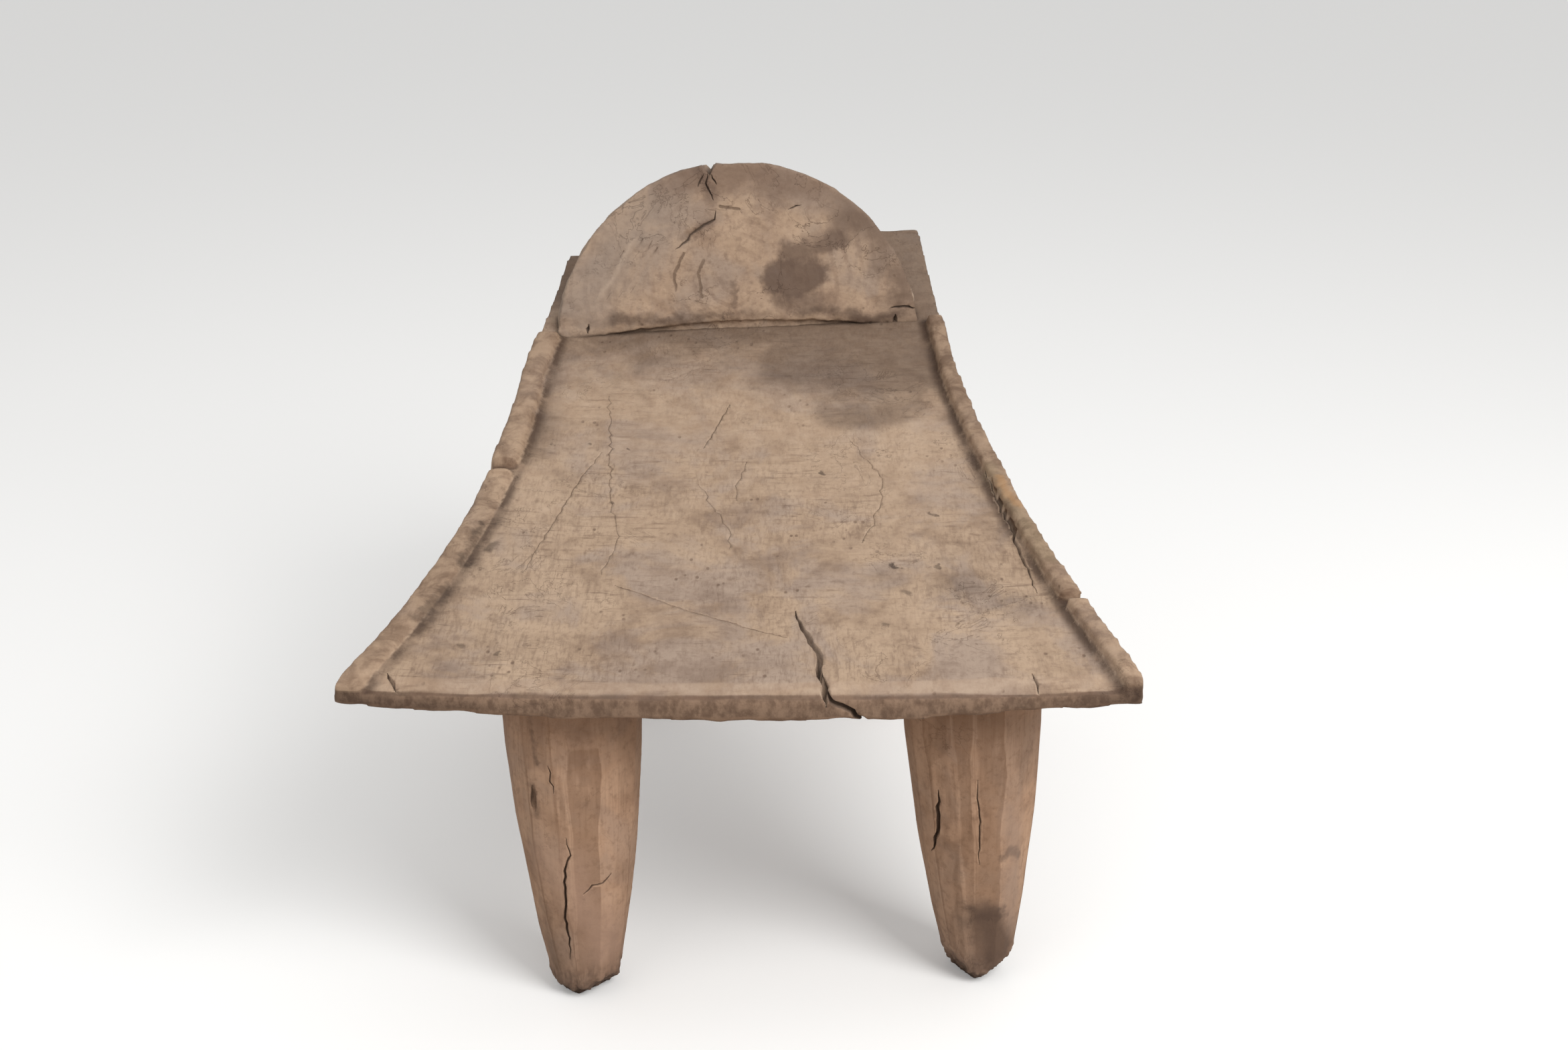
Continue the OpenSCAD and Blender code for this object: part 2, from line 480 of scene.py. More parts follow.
def buildOldWood():
    # weathered wood: soft mottling, long grain, tool chatter across it, hair lines and pores
    tree, given, result = newGroup("oldWood", [
        ("Place", "NodeSocketVector", None),
        ("Pale", "NodeSocketColor", None), ("Middle", "NodeSocketColor", None),
        ("Cool", "NodeSocketColor", None), ("Dark", "NodeSocketColor", None),
        ("Grain Stretch", "NodeSocketVector", (1, 0.08, 1)),
        ("Chatter Stretch", "NodeSocketVector", (0.12, 1, 1)), ("Grain", "NodeSocketFloat", 0.5),
        ("Chatter", "NodeSocketFloat", 0.4), ("Pores", "NodeSocketFloat", 0.5),
        ("Lines", "NodeSocketFloat", 0.5), ("Blotches", "NodeSocketFloat", 0.6)],
        [("Color", "NodeSocketColor"), ("Height", "NodeSocketFloat"), ("Roughness", "NodeSocketFloat")])
    place = given.outputs["Place"]
    dark = given.outputs["Dark"]
    alongGrain = vectorCalc(tree, "MULTIPLY", place, given.outputs["Grain Stretch"])
    acrossGrain = vectorCalc(tree, "MULTIPLY", place, given.outputs["Chatter Stretch"])

    broad = noise(tree, place, 8.0, 4, 0.6, 0.4)
    middling = noise(tree, place, 34.0, 5, 0.62, 0.3)
    fine = noise(tree, place, 190.0, 4, 0.65)
    blotch = calc(tree, "ADD", calc(tree, "MULTIPLY", broad, 0.5), calc(tree, "MULTIPLY", middling, 0.5))
    colour = blendColour(tree, spread(tree, blotch, 0.38, 0.62), given.outputs["Middle"],
                         given.outputs["Pale"])
    coolHere = spread(tree, noise(tree, place, 13.0, 4, 0.6, 0.5), 0.46, 0.62)
    colour = blendColour(tree, calc(tree, "MULTIPLY", coolHere, 0.75), colour, given.outputs["Cool"])
    shaded = calc(tree, "MULTIPLY", spread(tree, blotch, 0.49, 0.34), given.outputs["Blotches"])
    colour = blendColour(tree, shaded, colour, dark)
    speckle = calc(tree, "MULTIPLY", spread(tree, fine, 0.52, 0.32), 0.30)
    colour = blendColour(tree, speckle, colour, dark)

    grain = noise(tree, alongGrain, 430.0, 4, 0.6, 0.2)
    bands = noise(tree, alongGrain, 85.0, 5, 0.6, 0.8)
    grainHere = spread(tree, noise(tree, place, 11.0, 3), 0.36, 0.60, 0.35, 1.0)
    grainAmount = calc(tree, "MULTIPLY", given.outputs["Grain"], grainHere)
    colour = blendColour(tree, calc(tree, "MULTIPLY", spread(tree, grain, 0.53, 0.34), grainAmount),
                         colour, dark)
    colour = blendColour(tree, calc(tree, "MULTIPLY", spread(tree, bands, 0.48, 0.30), grainAmount),
                         colour, dark)

    chatter = noise(tree, acrossGrain, 240.0, 4, 0.6, 0.4)
    chatterHere = spread(tree, noise(tree, place, 17.0, 3), 0.44, 0.60)
    chatterAmount = calc(tree, "MULTIPLY", chatterHere, given.outputs["Chatter"])
    colour = blendColour(tree, calc(tree, "MULTIPLY", spread(tree, chatter, 0.48, 0.30), chatterAmount),
                         colour, dark)

    wander = noise(tree, place, 20.0, 5, 0.62, 1.0)
    line = spread(tree, calc(tree, "ABSOLUTE", calc(tree, "SUBTRACT", wander, 0.5)), 0.0, 0.007, 1.0, 0.0)
    lineHere = spread(tree, noise(tree, place, 8.0, 3), 0.49, 0.60)
    lineMask = calc(tree, "MULTIPLY", calc(tree, "MULTIPLY", line, lineHere), given.outputs["Lines"])
    colour = blendColour(tree, lineMask, colour, dark)

    cells = addNode(tree, "ShaderNodeTexVoronoi", Scale=130.0, Randomness=1.0,
                    Vector=vectorCalc(tree, "MULTIPLY", place, (1, 0.6, 1)))
    pore = spread(tree, cells.outputs["Distance"], 0.08, 0.24, 1.0, 0.0)
    poreHere = spread(tree, noise(tree, place, 21.0, 4, 0.6), 0.53, 0.62)
    poreMask = calc(tree, "MULTIPLY", calc(tree, "MULTIPLY", pore, poreHere), given.outputs["Pores"])
    colour = blendColour(tree, poreMask, colour, dark)

    height = calc(tree, "MULTIPLY", grain, calc(tree, "MULTIPLY", grainAmount, 0.9))
    for part, share in ((chatter, chatterAmount), (middling, 0.8), (fine, 0.35)):
        height = calc(tree, "ADD", height, calc(tree, "MULTIPLY", part, share))
    for part, share in ((poreMask, 0.8), (lineMask, 0.6)):
        height = calc(tree, "SUBTRACT", height, calc(tree, "MULTIPLY", part, share))
    feed(tree, result.inputs["Color"], colour)
    feed(tree, result.inputs["Height"], height)
    feed(tree, result.inputs["Roughness"], spread(tree, middling, 0.3, 0.7, 0.66, 0.84))
    return tree


markGroup = buildMark()
facingGroup = buildFacing()
wearAndShadeGroup = buildWear()
oldWoodGroup = buildOldWood()
print("shader groups built")


addCamera()
for lampName in ("key", "fill", "top"):
    addLamp(lampName)
addFloor()
addSky()
print("stage set")


def useGroup(tree, group, **inputs):
    node = tree.nodes.new("ShaderNodeGroup")
    node.node_tree = group
    for name, value in inputs.items():
        feed(tree, node.inputs[name.replace("_", " ")], value)
    return node.outputs


def drifts(tree, place):
    # two shared wanderings, so that no mark has a ruled edge
    found = {}
    for name, scale in (("coarse", 26.0), ("fine", 95.0)):
        node = addNode(tree, "ShaderNodeTexNoise", Vector=place, Scale=scale, Detail=5.0, Roughness=0.6)
        found[name] = vectorCalc(tree, "SUBTRACT", node.outputs["Color"], (0.5, 0.5, 0.5))
    return found


def woodMaterial(name, look, marks=(), extra=None):
    material = bpy.data.materials.new(name)
    material.use_nodes = True
    tree = material.node_tree
    shader = tree.nodes["Principled BSDF"]
    where = tree.nodes.new("ShaderNodeTexCoord")
    place, normal = where.outputs["Object"], where.outputs["Normal"]
    wood = useGroup(tree, oldWoodGroup, Place=place, Pale=look["pale"], Middle=look["middle"],
                    Cool=look["cool"], Dark=look["dark"], Grain_Stretch=look["grainStretch"],
                    Chatter_Stretch=look["chatterStretch"], Grain=look["grain"],
                    Chatter=look["chatter"], Pores=look["pores"], Lines=look["lines"],
                    Blotches=look["blotches"])
    colour, height = wood["Color"], wood["Height"]
    drift = drifts(tree, place)
    for face in look.get("faces", ()):
        mask = useGroup(tree, facingGroup, Normal=normal, Direction=face["towards"],
                        Low=face["low"], High=face["high"])["Mask"]
        if "until" in face:
            past = useGroup(tree, facingGroup, Normal=normal, Direction=face["towards"],
                            Low=face["until"], High=face["until"] + 0.15)["Mask"]
            mask = calc(tree, "MULTIPLY", mask, calc(tree, "SUBTRACT", 1.0, past))
        tone = noise(tree, vectorCalc(tree, "MULTIPLY", place, face.get("stretch", (1, 1, 1))),
                     face.get("size", 60.0), 5, 0.65)
        tinted = blendColour(tree, spread(tree, tone, 0.36, 0.64), face["dark"], face["pale"])
        colour = blendColour(tree, calc(tree, "MULTIPLY", mask, face["amount"]), colour, tinted)
    if extra:
        colour, height = extra(tree, place, normal, colour, height)
    for mark in marks:
        route = mark["route"]
        mask = None
        for start, end in zip(route, route[1:]):
            part = useGroup(tree, markGroup, Place=place, Drift=drift[mark.get("drift", "fine")],
                            Start=start, End=end, Width=mark["width"], Soft=mark.get("soft", 0.7),
                            Wobble=mark.get("wobble", 0.002))["Mask"]
            mask = part if mask is None else calc(tree, "MAXIMUM", mask, part)
        mask = calc(tree, "MULTIPLY", mask, mark.get("amount", 0.8))
        colour = blendColour(tree, mask, colour, mark["colour"])
        if mark.get("groove"):
            height = calc(tree, "SUBTRACT", height, calc(tree, "MULTIPLY", mask, mark["groove"]))
    wearAndShade = useGroup(tree, wearAndShadeGroup, Place=place, Edge_Low=look["edgeLow"], Edge_High=look["edgeHigh"],
                    Corner_Reach=look["cornerReach"])
    colour = blendColour(tree, calc(tree, "MULTIPLY", wearAndShade["Edges"], look["edgeAmount"]), colour,
                         look["edgeColour"])
    # painted shade: corners and creases darkened where ambient occlusion finds them hollow
    colour = blendColour(tree, calc(tree, "MULTIPLY", wearAndShade["Corner Shade"], look["cornerShadeAmount"]), colour,
                         look["cornerShadeColour"])
    bump = addNode(tree, "ShaderNodeBump", Height=height, Strength=look["bump"], Distance=0.0012)
    feed(tree, shader.inputs["Base Color"], colour)
    feed(tree, shader.inputs["Roughness"], wood["Roughness"])
    feed(tree, shader.inputs["Normal"], bump.outputs["Normal"])
    shader.inputs["Specular IOR Level"].default_value = 0.25
    return material


def attributeValue(tree, name):
    node = tree.nodes.new("ShaderNodeAttribute")
    node.attribute_name = name
    return node.outputs["Fac"]


def addRings(tree, place, normal, colour, height):
    # growth rings of the log, seen on its end
    rings = headrestRings
    centred = tree.nodes.new("ShaderNodeMapping")
    centred.vector_type = "TEXTURE"
    feed(tree, centred.inputs["Vector"], place)
    centred.inputs["Location"].default_value = rings["centre"]
    flat = vectorCalc(tree, "MULTIPLY", centred.outputs["Vector"], (1, 0.05, 1))
    bend = noise(tree, flat, rings["bendSize"], 3)
    away = calc(tree, "ADD", vectorCalc(tree, "LENGTH", flat), calc(tree, "MULTIPLY", bend, rings["bend"]))
    wave = calc(tree, "SINE", calc(tree, "MULTIPLY", away, 2 * math.pi / rings["spacing"]))
    here = spread(tree, noise(tree, flat, 18.0, 3), 0.42, 0.60)
    band = calc(tree, "MULTIPLY", spread(tree, wave, 0.2, 1.0), calc(tree, "MULTIPLY", here, rings["amount"]))
    colour = blendColour(tree, band, colour, rings["colour"])
    return colour, calc(tree, "SUBTRACT", height, calc(tree, "MULTIPLY", band, 0.8))


# ---------- finishes ----------
soot = linear(50, 38, 31)
wornEdge = linear(186, 163, 141)
# painted shade for corners and creases
cornerShade = linear(66, 51, 41)
# darkens the patina and the painted crease shade
patinaAndCreaseShade = (0.50, 0.485, 0.49, 1.0)
hair = linear(108, 87, 71)
freshWood = linear(190, 136, 84)

boardLook = {
    "pale": linear(179, 154, 130), "middle": linear(160, 135, 112), "cool": linear(158, 139, 125),
    "dark": linear(108, 86, 71),
    "grainStretch": (1, 0.07, 1), "chatterStretch": (0.14, 1, 1),
    "grain": 0.34, "chatter": 0.62, "pores": 0.85, "lines": 0.55, "blotches": 0.45,
    "edgeLow": 0.53, "edgeHigh": 0.62, "edgeAmount": 0.45, "edgeColour": wornEdge,
    "cornerReach": 0.006, "cornerShadeAmount": 0.8, "cornerShadeColour": cornerShade, "bump": 0.7,
    "faces": [
        {"towards": (0, -1, 0), "low": 0.18, "high": 0.30, "until": 0.42, "amount": 0.5,
         "pale": linear(180, 156, 134), "dark": linear(160, 134, 112)},
        {"towards": (0, -1, 0), "low": 0.40, "high": 0.62, "until": 0.78, "amount": 0.75,
         "pale": linear(104, 78, 62), "dark": linear(80, 58, 45)},
        {"towards": (0, -1, 0), "low": 0.70, "high": 0.90, "amount": 0.95, "stretch": (1, 1, 0.6),
         "size": 150.0, "pale": linear(134, 108, 88), "dark": linear(100, 77, 61)},
        {"towards": (0, 0, -1), "low": 0.1, "high": 0.5, "amount": 0.9,
         "pale": linear(148, 118, 95), "dark": linear(114, 87, 68)},
        {"towards": (0, 1, 0), "low": 0.6, "high": 0.9, "amount": 0.8,
         "pale": linear(150, 124, 102), "dark": linear(110, 88, 71)},
    ],
}
# sweat-darkened wood: in front of the headrest, over the tail and along the rims; two thin lines are painted shade
# in the crease at the headrest's foot
boardPatinaAndCreaseShade = [
    {"route": [(-0.06, 0.20), (0.17, 0.20)], "inner": 0.016, "outer": 0.078, "amount": 1.15},
    {"route": [(0.055, 0.14), (0.14, 0.125)], "inner": 0.034, "outer": 0.070, "amount": 0.95},
    {"route": [(0.088, 0.062), (0.128, 0.066)], "inner": 0.026, "outer": 0.044, "amount": 0.62},
    {"route": [(-0.17, 0.21), (-0.11, 0.19)], "inner": 0.004, "outer": 0.034, "amount": 0.6},
    {"route": [(-0.20, 0.33), (0.20, 0.33)], "inner": 0.09, "outer": 0.14, "amount": 1.0},
    {"route": [(-0.13, 0.18), (0.15, 0.17)], "inner": 0.01, "outer": 0.13, "amount": 0.72},
    # painted shade: thin dark lines in the crease where the headrest meets the board
    {"route": [(-0.16, 0.182), (-0.08, 0.188), (-0.04, 0.196)], "inner": 0.005, "outer": 0.012, "amount": 1.6},
    {"route": [(0.08, 0.206), (0.15, 0.212)], "inner": 0.003, "outer": 0.009, "amount": 1.2},
    {"route": [(-0.289, -0.358), (-0.17, -0.362)], "inner": 0.004, "outer": 0.012, "amount": 0.8},
    {"route": [(0.289, -0.358), (0.17, -0.362)], "inner": 0.004, "outer": 0.012, "amount": 0.8},
    {"route": [(0.175, 0.10), (0.20, -0.02), (0.215, -0.13)], "inner": 0.002, "outer": 0.034, "amount": 0.62},
    {"route": [(0.16, -0.20), (0.22, -0.24)], "inner": 0.002, "outer": 0.045, "amount": 0.5},
    {"route": [(0.12, -0.19), (0.17, -0.16)], "inner": 0.002, "outer": 0.040, "amount": 0.36},
    {"route": [(-0.168, 0.12), (-0.178, -0.02)], "inner": 0.002, "outer": 0.026, "amount": 0.55},
    {"route": [(-0.20, -0.10), (-0.24, -0.26)], "inner": 0.002, "outer": 0.034, "amount": 0.5},
]
boardMarks = [
    # bruises and pits
    {"route": [(-0.197, -0.150, 0.314), (-0.2001, -0.1590, 0.3126)], "width": 0.0058, "wobble": 0.010,
     "colour": soot, "amount": 0.51},
    {"route": [(0.116, -0.174, 0.306), (0.1205, -0.1798, 0.3051)], "width": 0.0040, "wobble": 0.016,
     "colour": soot, "amount": 0.72, "groove": 2.4},
    {"route": [(0.124, -0.212, 0.299), (0.1276, -0.2156, 0.2985)], "width": 0.0050, "wobble": 0.012,
     "colour": soot, "amount": 0.42, "groove": 1.0},
    {"route": [(0.150, -0.176, 0.306), (0.1522, -0.1805, 0.3051)], "width": 0.0032, "wobble": 0.016,
     "colour": soot, "amount": 0.51, "groove": 1.2},
    {"route": [(0.152, -0.102, 0.322), (0.1556, -0.1042, 0.3216)], "width": 0.0032, "wobble": 0.016,
     "colour": soot, "amount": 0.51, "groove": 1.2},
    {"route": [(0.064, -0.036, 0.336), (0.0658, -0.0396, 0.3351)], "width": 0.0029, "wobble": 0.013,
     "colour": soot, "amount": 0.64, "groove": 1.4},
    {"route": [(0.106, -0.258, 0.291), (0.1078, -0.2616, 0.2905)], "width": 0.0036, "wobble": 0.016,
     "colour": soot, "amount": 0.47, "groove": 1.0},
    {"route": [(-0.164, 0.002, 0.348), (-0.1640, -0.0003, 0.3475)], "width": 0.0026, "wobble": 0.011,
     "colour": soot, "amount": 0.59, "groove": 1.0},
    {"route": [(-0.133, 0.005, 0.348), (-0.1330, 0.0032, 0.3475)], "width": 0.0024, "wobble": 0.011,
     "colour": soot, "amount": 0.59, "groove": 1.0},
    {"route": [(-0.100, -0.001, 0.346), (-0.0973, -0.0037, 0.3455)], "width": 0.0017, "wobble": 0.009,
     "colour": soot, "amount": 0.51, "groove": 1.0},
    {"route": [(-0.108, -0.083, 0.326), (-0.1080, -0.0853, 0.3256)], "width": 0.0024, "wobble": 0.011,
     "colour": soot, "amount": 0.51, "groove": 1.0},
    {"route": [(-0.203, -0.293, 0.287), (-0.2044, -0.2912, 0.2874)], "width": 0.0043, "wobble": 0.010,
     "colour": soot, "amount": 0.42},
    {"route": [(-0.176, -0.300, 0.285), (-0.1769, -0.3018, 0.2850)], "width": 0.0033, "wobble": 0.013,
     "colour": soot, "amount": 0.55, "groove": 1.0},
    # the rims' own damage
    {"route": [(0.207, -0.068, 0.343), (0.220, -0.110, 0.333)], "width": 0.007, "soft": 0.9,
     "wobble": 0.014, "colour": freshWood, "amount": 0.4},
    {"route": [(0.200, -0.050, 0.345), (0.238, -0.190, 0.315)], "width": 0.012, "soft": 0.9,
     "wobble": 0.012, "colour": linear(124, 114, 86), "amount": 0.24},
    {"route": [(-0.206, -0.130, 0.326), (-0.216, -0.185, 0.314)], "width": 0.010, "soft": 0.8,
     "wobble": 0.022, "colour": soot, "amount": 0.62},
    {"route": [(-0.223, -0.215, 0.306), (-0.238, -0.265, 0.298)], "width": 0.008, "soft": 0.8,
     "wobble": 0.018, "colour": soot, "amount": 0.5},
]


def patchValues(piece, patches):
    # stains and painted crease shade, wider than the mesh's own faces, as one value at each vertex
    places = numpy.empty(3 * len(piece.data.vertices))
    piece.data.vertices.foreach_get("co", places)
    places = places.reshape(-1, 3)[:, :2]
    values = numpy.zeros(len(places))
    for patch in patches:
        for start, end in zip(patch["route"], patch["route"][1:]):
            start, whole = numpy.array(start), numpy.subtract(end, start)
            share = numpy.clip((places - start) @ whole / (whole @ whole), 0, 1)
            away = numpy.hypot(*(places - start - share[:, None] * whole).T)
            near = numpy.clip((patch["outer"] - away) / (patch["outer"] - patch["inner"]), 0, 1)
            values = numpy.maximum(values, near * patch["amount"])
    return values


def addRims(tree, place, normal, colour, height):
    # patina, and painted shade in the crease at the headrest's foot, with ragged edges
    ragged = calc(tree, "SUBTRACT", noise(tree, place, 24.0, 6, 0.65, 0.5), 0.5)
    worn = calc(tree, "ADD", attributeValue(tree, "patinaAndCreaseShade"), calc(tree, "MULTIPLY", ragged, 1.1))
    colour = blendColour(tree, spread(tree, worn, 0.04, 0.95), colour, patinaAndCreaseShade, "MULTIPLY")
    # paler worn rims, with a cracked groove inside them that holds a painted shadow line
    patches = noise(tree, place, 46.0, 5, 0.65, 0.4)
    tone = blendColour(tree, spread(tree, patches, 0.36, 0.62), linear(112, 87, 68), linear(170, 143, 118))
    colour = blendColour(tree, calc(tree, "MULTIPLY", attributeValue(tree, "rim"), 0.6), colour, tone)
    rimShadowLine = calc(tree, "MULTIPLY", attributeValue(tree, "groove"),
                  spread(tree, noise(tree, place, 30.0, 5, 0.65), 0.36, 0.56, 0.4, 1.0))
    # painted shadow: a dark line along the board just inside the rims
    colour = blendColour(tree, calc(tree, "MULTIPLY", rimShadowLine, 0.85), colour, linear(70, 52, 41))
    return colour, calc(tree, "SUBTRACT", height, calc(tree, "MULTIPLY", rimShadowLine, 0.8))


headrestLook = {
    "pale": linear(177, 151, 127), "middle": linear(158, 132, 110), "cool": linear(152, 133, 118),
    "dark": linear(108, 86, 71),
    "grainStretch": (0.3, 1, 0.6), "chatterStretch": (0.5, 1, 0.25),
    "grain": 0.26, "chatter": 0.34, "pores": 0.5, "lines": 0.7, "blotches": 0.55,
    "edgeLow": 0.53, "edgeHigh": 0.62, "edgeAmount": 0.5, "edgeColour": wornEdge,
    "cornerReach": 0.006, "cornerShadeAmount": 0.85, "cornerShadeColour": cornerShade, "bump": 0.7,
}
headrestRings = {"centre": (-0.016, 0.19, 0.442), "spacing": 0.0125, "bend": 0.014,
                 "bendSize": 22.0, "amount": 0.26, "colour": linear(118, 95, 79)}
stain = linear(92, 73, 62)
gouge = linear(196, 173, 152)
headrestMarks = [
    {"route": [(0.034, 0.197, 0.448), (0.056, 0.200, 0.448)], "width": 0.023, "soft": 0.45,
     "wobble": 0.050, "drift": "coarse", "colour": stain, "amount": 0.84},
    {"route": [(0.040, 0.202, 0.470), (0.080, 0.207, 0.482)], "width": 0.016, "soft": 0.6,
     "wobble": 0.045, "drift": "coarse", "colour": stain, "amount": 0.74},
    {"route": [(0.086, 0.207, 0.490), (0.100, 0.207, 0.500)], "width": 0.016, "soft": 0.9,
     "wobble": 0.04, "drift": "coarse", "colour": stain, "amount": 0.45},
    {"route": [(0.062, 0.195, 0.424), (0.030, 0.195, 0.426)], "width": 0.015, "soft": 0.85,
     "wobble": 0.04, "drift": "coarse", "colour": stain, "amount": 0.6},
    {"route": [(-0.07, 0.21, 0.535), (0.00, 0.21, 0.545), (0.07, 0.21, 0.530)], "width": 0.036,
     "soft": 0.98, "wobble": 0.06, "drift": "coarse", "colour": linear(114, 92, 77), "amount": 0.78},
    {"route": [(0.10, 0.21, 0.505), (0.145, 0.20, 0.455), (0.15, 0.20, 0.42)], "width": 0.032,
     "soft": 0.98, "wobble": 0.06, "drift": "coarse", "colour": linear(108, 88, 74), "amount": 0.85},
    # painted shadow: a dark line along the panel's arched lower edge, where it overhangs the recess
    {"route": [(-0.15, 0.18, 0.407), (0.0, 0.18, 0.416), (0.14, 0.20, 0.412)], "width": 0.010,
     "soft": 0.9, "wobble": 0.03, "drift": "coarse", "colour": linear(82, 64, 53), "amount": 0.8},
    {"route": [(-0.013, 0.191, 0.442), (-0.014, 0.189, 0.425)], "width": 0.006, "soft": 0.8,
     "wobble": 0.02, "colour": stain, "amount": 0.5},
    {"route": [(-0.15, 0.18, 0.425), (-0.12, 0.185, 0.48), (-0.09, 0.20, 0.51)], "width": 0.05,
     "soft": 0.95, "wobble": 0.05, "drift": "coarse", "colour": linear(148, 132, 119), "amount": 0.55},
    {"route": [(-0.060, 0.193, 0.470), (-0.068, 0.190, 0.452), (-0.066, 0.187, 0.428)],
     "width": 0.0020, "soft": 0.7, "wobble": 0.006, "colour": hair, "amount": 0.8, "groove": 1.2},
    {"route": [(-0.038, 0.194, 0.470), (-0.046, 0.191, 0.452), (-0.043, 0.188, 0.430)],
     "width": 0.0018, "soft": 0.7, "wobble": 0.006, "colour": hair, "amount": 0.75, "groove": 1.0},
    {"route": [(-0.026, 0.204, 0.5115), (-0.009, 0.204, 0.509)], "width": 0.0018, "soft": 0.6,
     "wobble": 0.003, "colour": hair, "amount": 0.8, "groove": 1.2},
    {"route": [(-0.120, 0.181, 0.446), (-0.078, 0.186, 0.447)], "width": 0.0018, "soft": 0.8,
     "wobble": 0.010, "colour": hair, "amount": 0.5, "groove": 0.6},
    {"route": [(-0.136, 0.181, 0.432), (-0.103, 0.192, 0.484)], "width": 0.0036, "soft": 0.95,
     "wobble": 0.010, "colour": gouge, "amount": 0.26},
    {"route": [(0.133, 0.208, 0.485), (0.147, 0.206, 0.455), (0.153, 0.203, 0.425)], "width": 0.0022,
     "soft": 0.7, "wobble": 0.004, "colour": gouge, "amount": 0.6},
    {"route": [(-0.044, 0.208, 0.545), (-0.034, 0.204, 0.520)], "width": 0.010, "soft": 0.9,
     "wobble": 0.016, "colour": stain, "amount": 0.55},
    {"route": [(-0.056, 0.197, 0.486), (-0.040, 0.199, 0.496)], "width": 0.009, "soft": 0.8,
     "wobble": 0.018, "colour": stain, "amount": 0.45},
]

legLook = {
    "pale": linear(186, 151, 124), "middle": linear(170, 134, 107), "cool": linear(164, 135, 114),
    "dark": linear(104, 77, 58),
    "grainStretch": (1, 1, 0.06), "chatterStretch": (1, 1, 0.35),
    "grain": 0.22, "chatter": 0.12, "pores": 0.25, "lines": 0.45, "blotches": 0.4,
    "edgeLow": 0.52, "edgeHigh": 0.60, "edgeAmount": 0.35, "edgeColour": linear(192, 163, 138),
    # the corner colour here is painted shade in the legs' corners and creases
    "cornerReach": 0.008, "cornerShadeAmount": 0.8, "cornerShadeColour": linear(60, 44, 33), "bump": 0.6,
}
bruise = linear(84, 64, 53)


def addFacetTonesAndShadow(tree, place, normal, colour, height):
    # every flat that the adze left has a tone of its own, partly patina and partly painted shade; the top of the
    # leg under the board is painted browner as the board's shadow, so the foot stays greyer
    tone = noise(tree, scaleVector(tree, normal, 3.1), 1.0, 2, 0.5)
    colour = blendColour(tree, calc(tree, "MULTIPLY", spread(tree, tone, 0.56, 0.38), 0.48), colour,
                         linear(106, 76, 54))
    height3 = tree.nodes.new("ShaderNodeSeparateXYZ")
    feed(tree, height3.inputs[0], place)
    # painted shadow: the top of the leg, under the board's overhang, turns browner
    under = spread(tree, height3.outputs["Z"], 0.17, 0.29)
    colour = blendColour(tree, calc(tree, "MULTIPLY", under, 0.6), colour, linear(146, 103, 71))
    return colour, height


def footMarks(foot):
    # the tip that stands on the ground is dark and bruised
    return [{"route": [(foot.x, foot.y, 0.0), (foot.x, foot.y, 0.004)], "width": 0.040, "soft": 0.6,
             "wobble": 0.03, "colour": linear(60, 45, 36), "amount": 0.88},
            {"route": [(foot.x, foot.y, 0.0), (foot.x, foot.y, 0.02)], "width": 0.075, "soft": 0.9,
             "wobble": 0.04, "drift": "coarse", "colour": linear(120, 97, 83), "amount": 0.5}]


# ---------- seat: the board and its rims are one carving ----------
seat = {
    "voxel": 0.00295,
    "edgeWidth": 0.0022,      # worn arris of the front face
    "lipReach": 0.020,        # the seat rolls down this far behind the front edge
    "lipDrop": 0.0042,
    "leftRimDrop": 0.0056,    # the left rim is worn almost flush in front
    "rimNear": 0.012,
    "rims": ("left_front_rim", "left_rear_rim", "right_front_rim", "right_rear_rim"),
}


# a split is its route seen from above, its width and depth, how far it wanders, its seed and its ends
seatSplits = [
    ([(0.041, -0.238), (0.044, -0.253), (0.049, -0.269), (0.052, -0.283), (0.058, -0.297), (0.057, -0.318),
      (0.060, -0.334), (0.063, -0.356)], 0.0048, 0.016, 0.0012, 4, "openLast"),
    ([(0.199, -0.050), (0.205, -0.085), (0.214, -0.130), (0.219, -0.175), (0.225, -0.222)],
     0.0028, 0.006, 0.0012, 9, "closed"),
    ([(-0.252, -0.332), (-0.243, -0.350)], 0.0024, 0.005, 0.0012, 3, "closed"),
    ([(0.210, -0.330), (0.213, -0.349)], 0.0020, 0.004, 0.0012, 5, "closed"),
    ([(-0.097, -0.205), (-0.037, -0.240), (0.034, -0.275)], 0.0011, 0.0010, 0.0006, 31, "closed"),
    ([(-0.015, 0.069), (-0.036, 0.001)], 0.0013, 0.0012, 0.0006, 32, "closed"),
    ([(-0.122, -0.008), (-0.136, -0.046), (-0.170, -0.188)], 0.0012, 0.0009, 0.0010, 33, "closed"),
    ([(-0.039, -0.055), (-0.011, -0.124), (-0.011, -0.150)], 0.0011, 0.0008, 0.0020, 34, "closed"),
    ([(0.001, -0.019), (-0.008, -0.055), (-0.006, -0.079)], 0.0011, 0.0008, 0.0020, 35, "closed"),
    ([(-0.122, 0.080), (-0.108, -0.092), (-0.099, -0.134), (-0.109, -0.189)],
     0.0012, 0.0008, 0.0020, 36, "closed"),
    ([(0.089, 0.011), (0.114, -0.048), (0.110, -0.092), (0.094, -0.143)],
     0.0011, 0.0008, 0.0020, 37, "closed"),
]


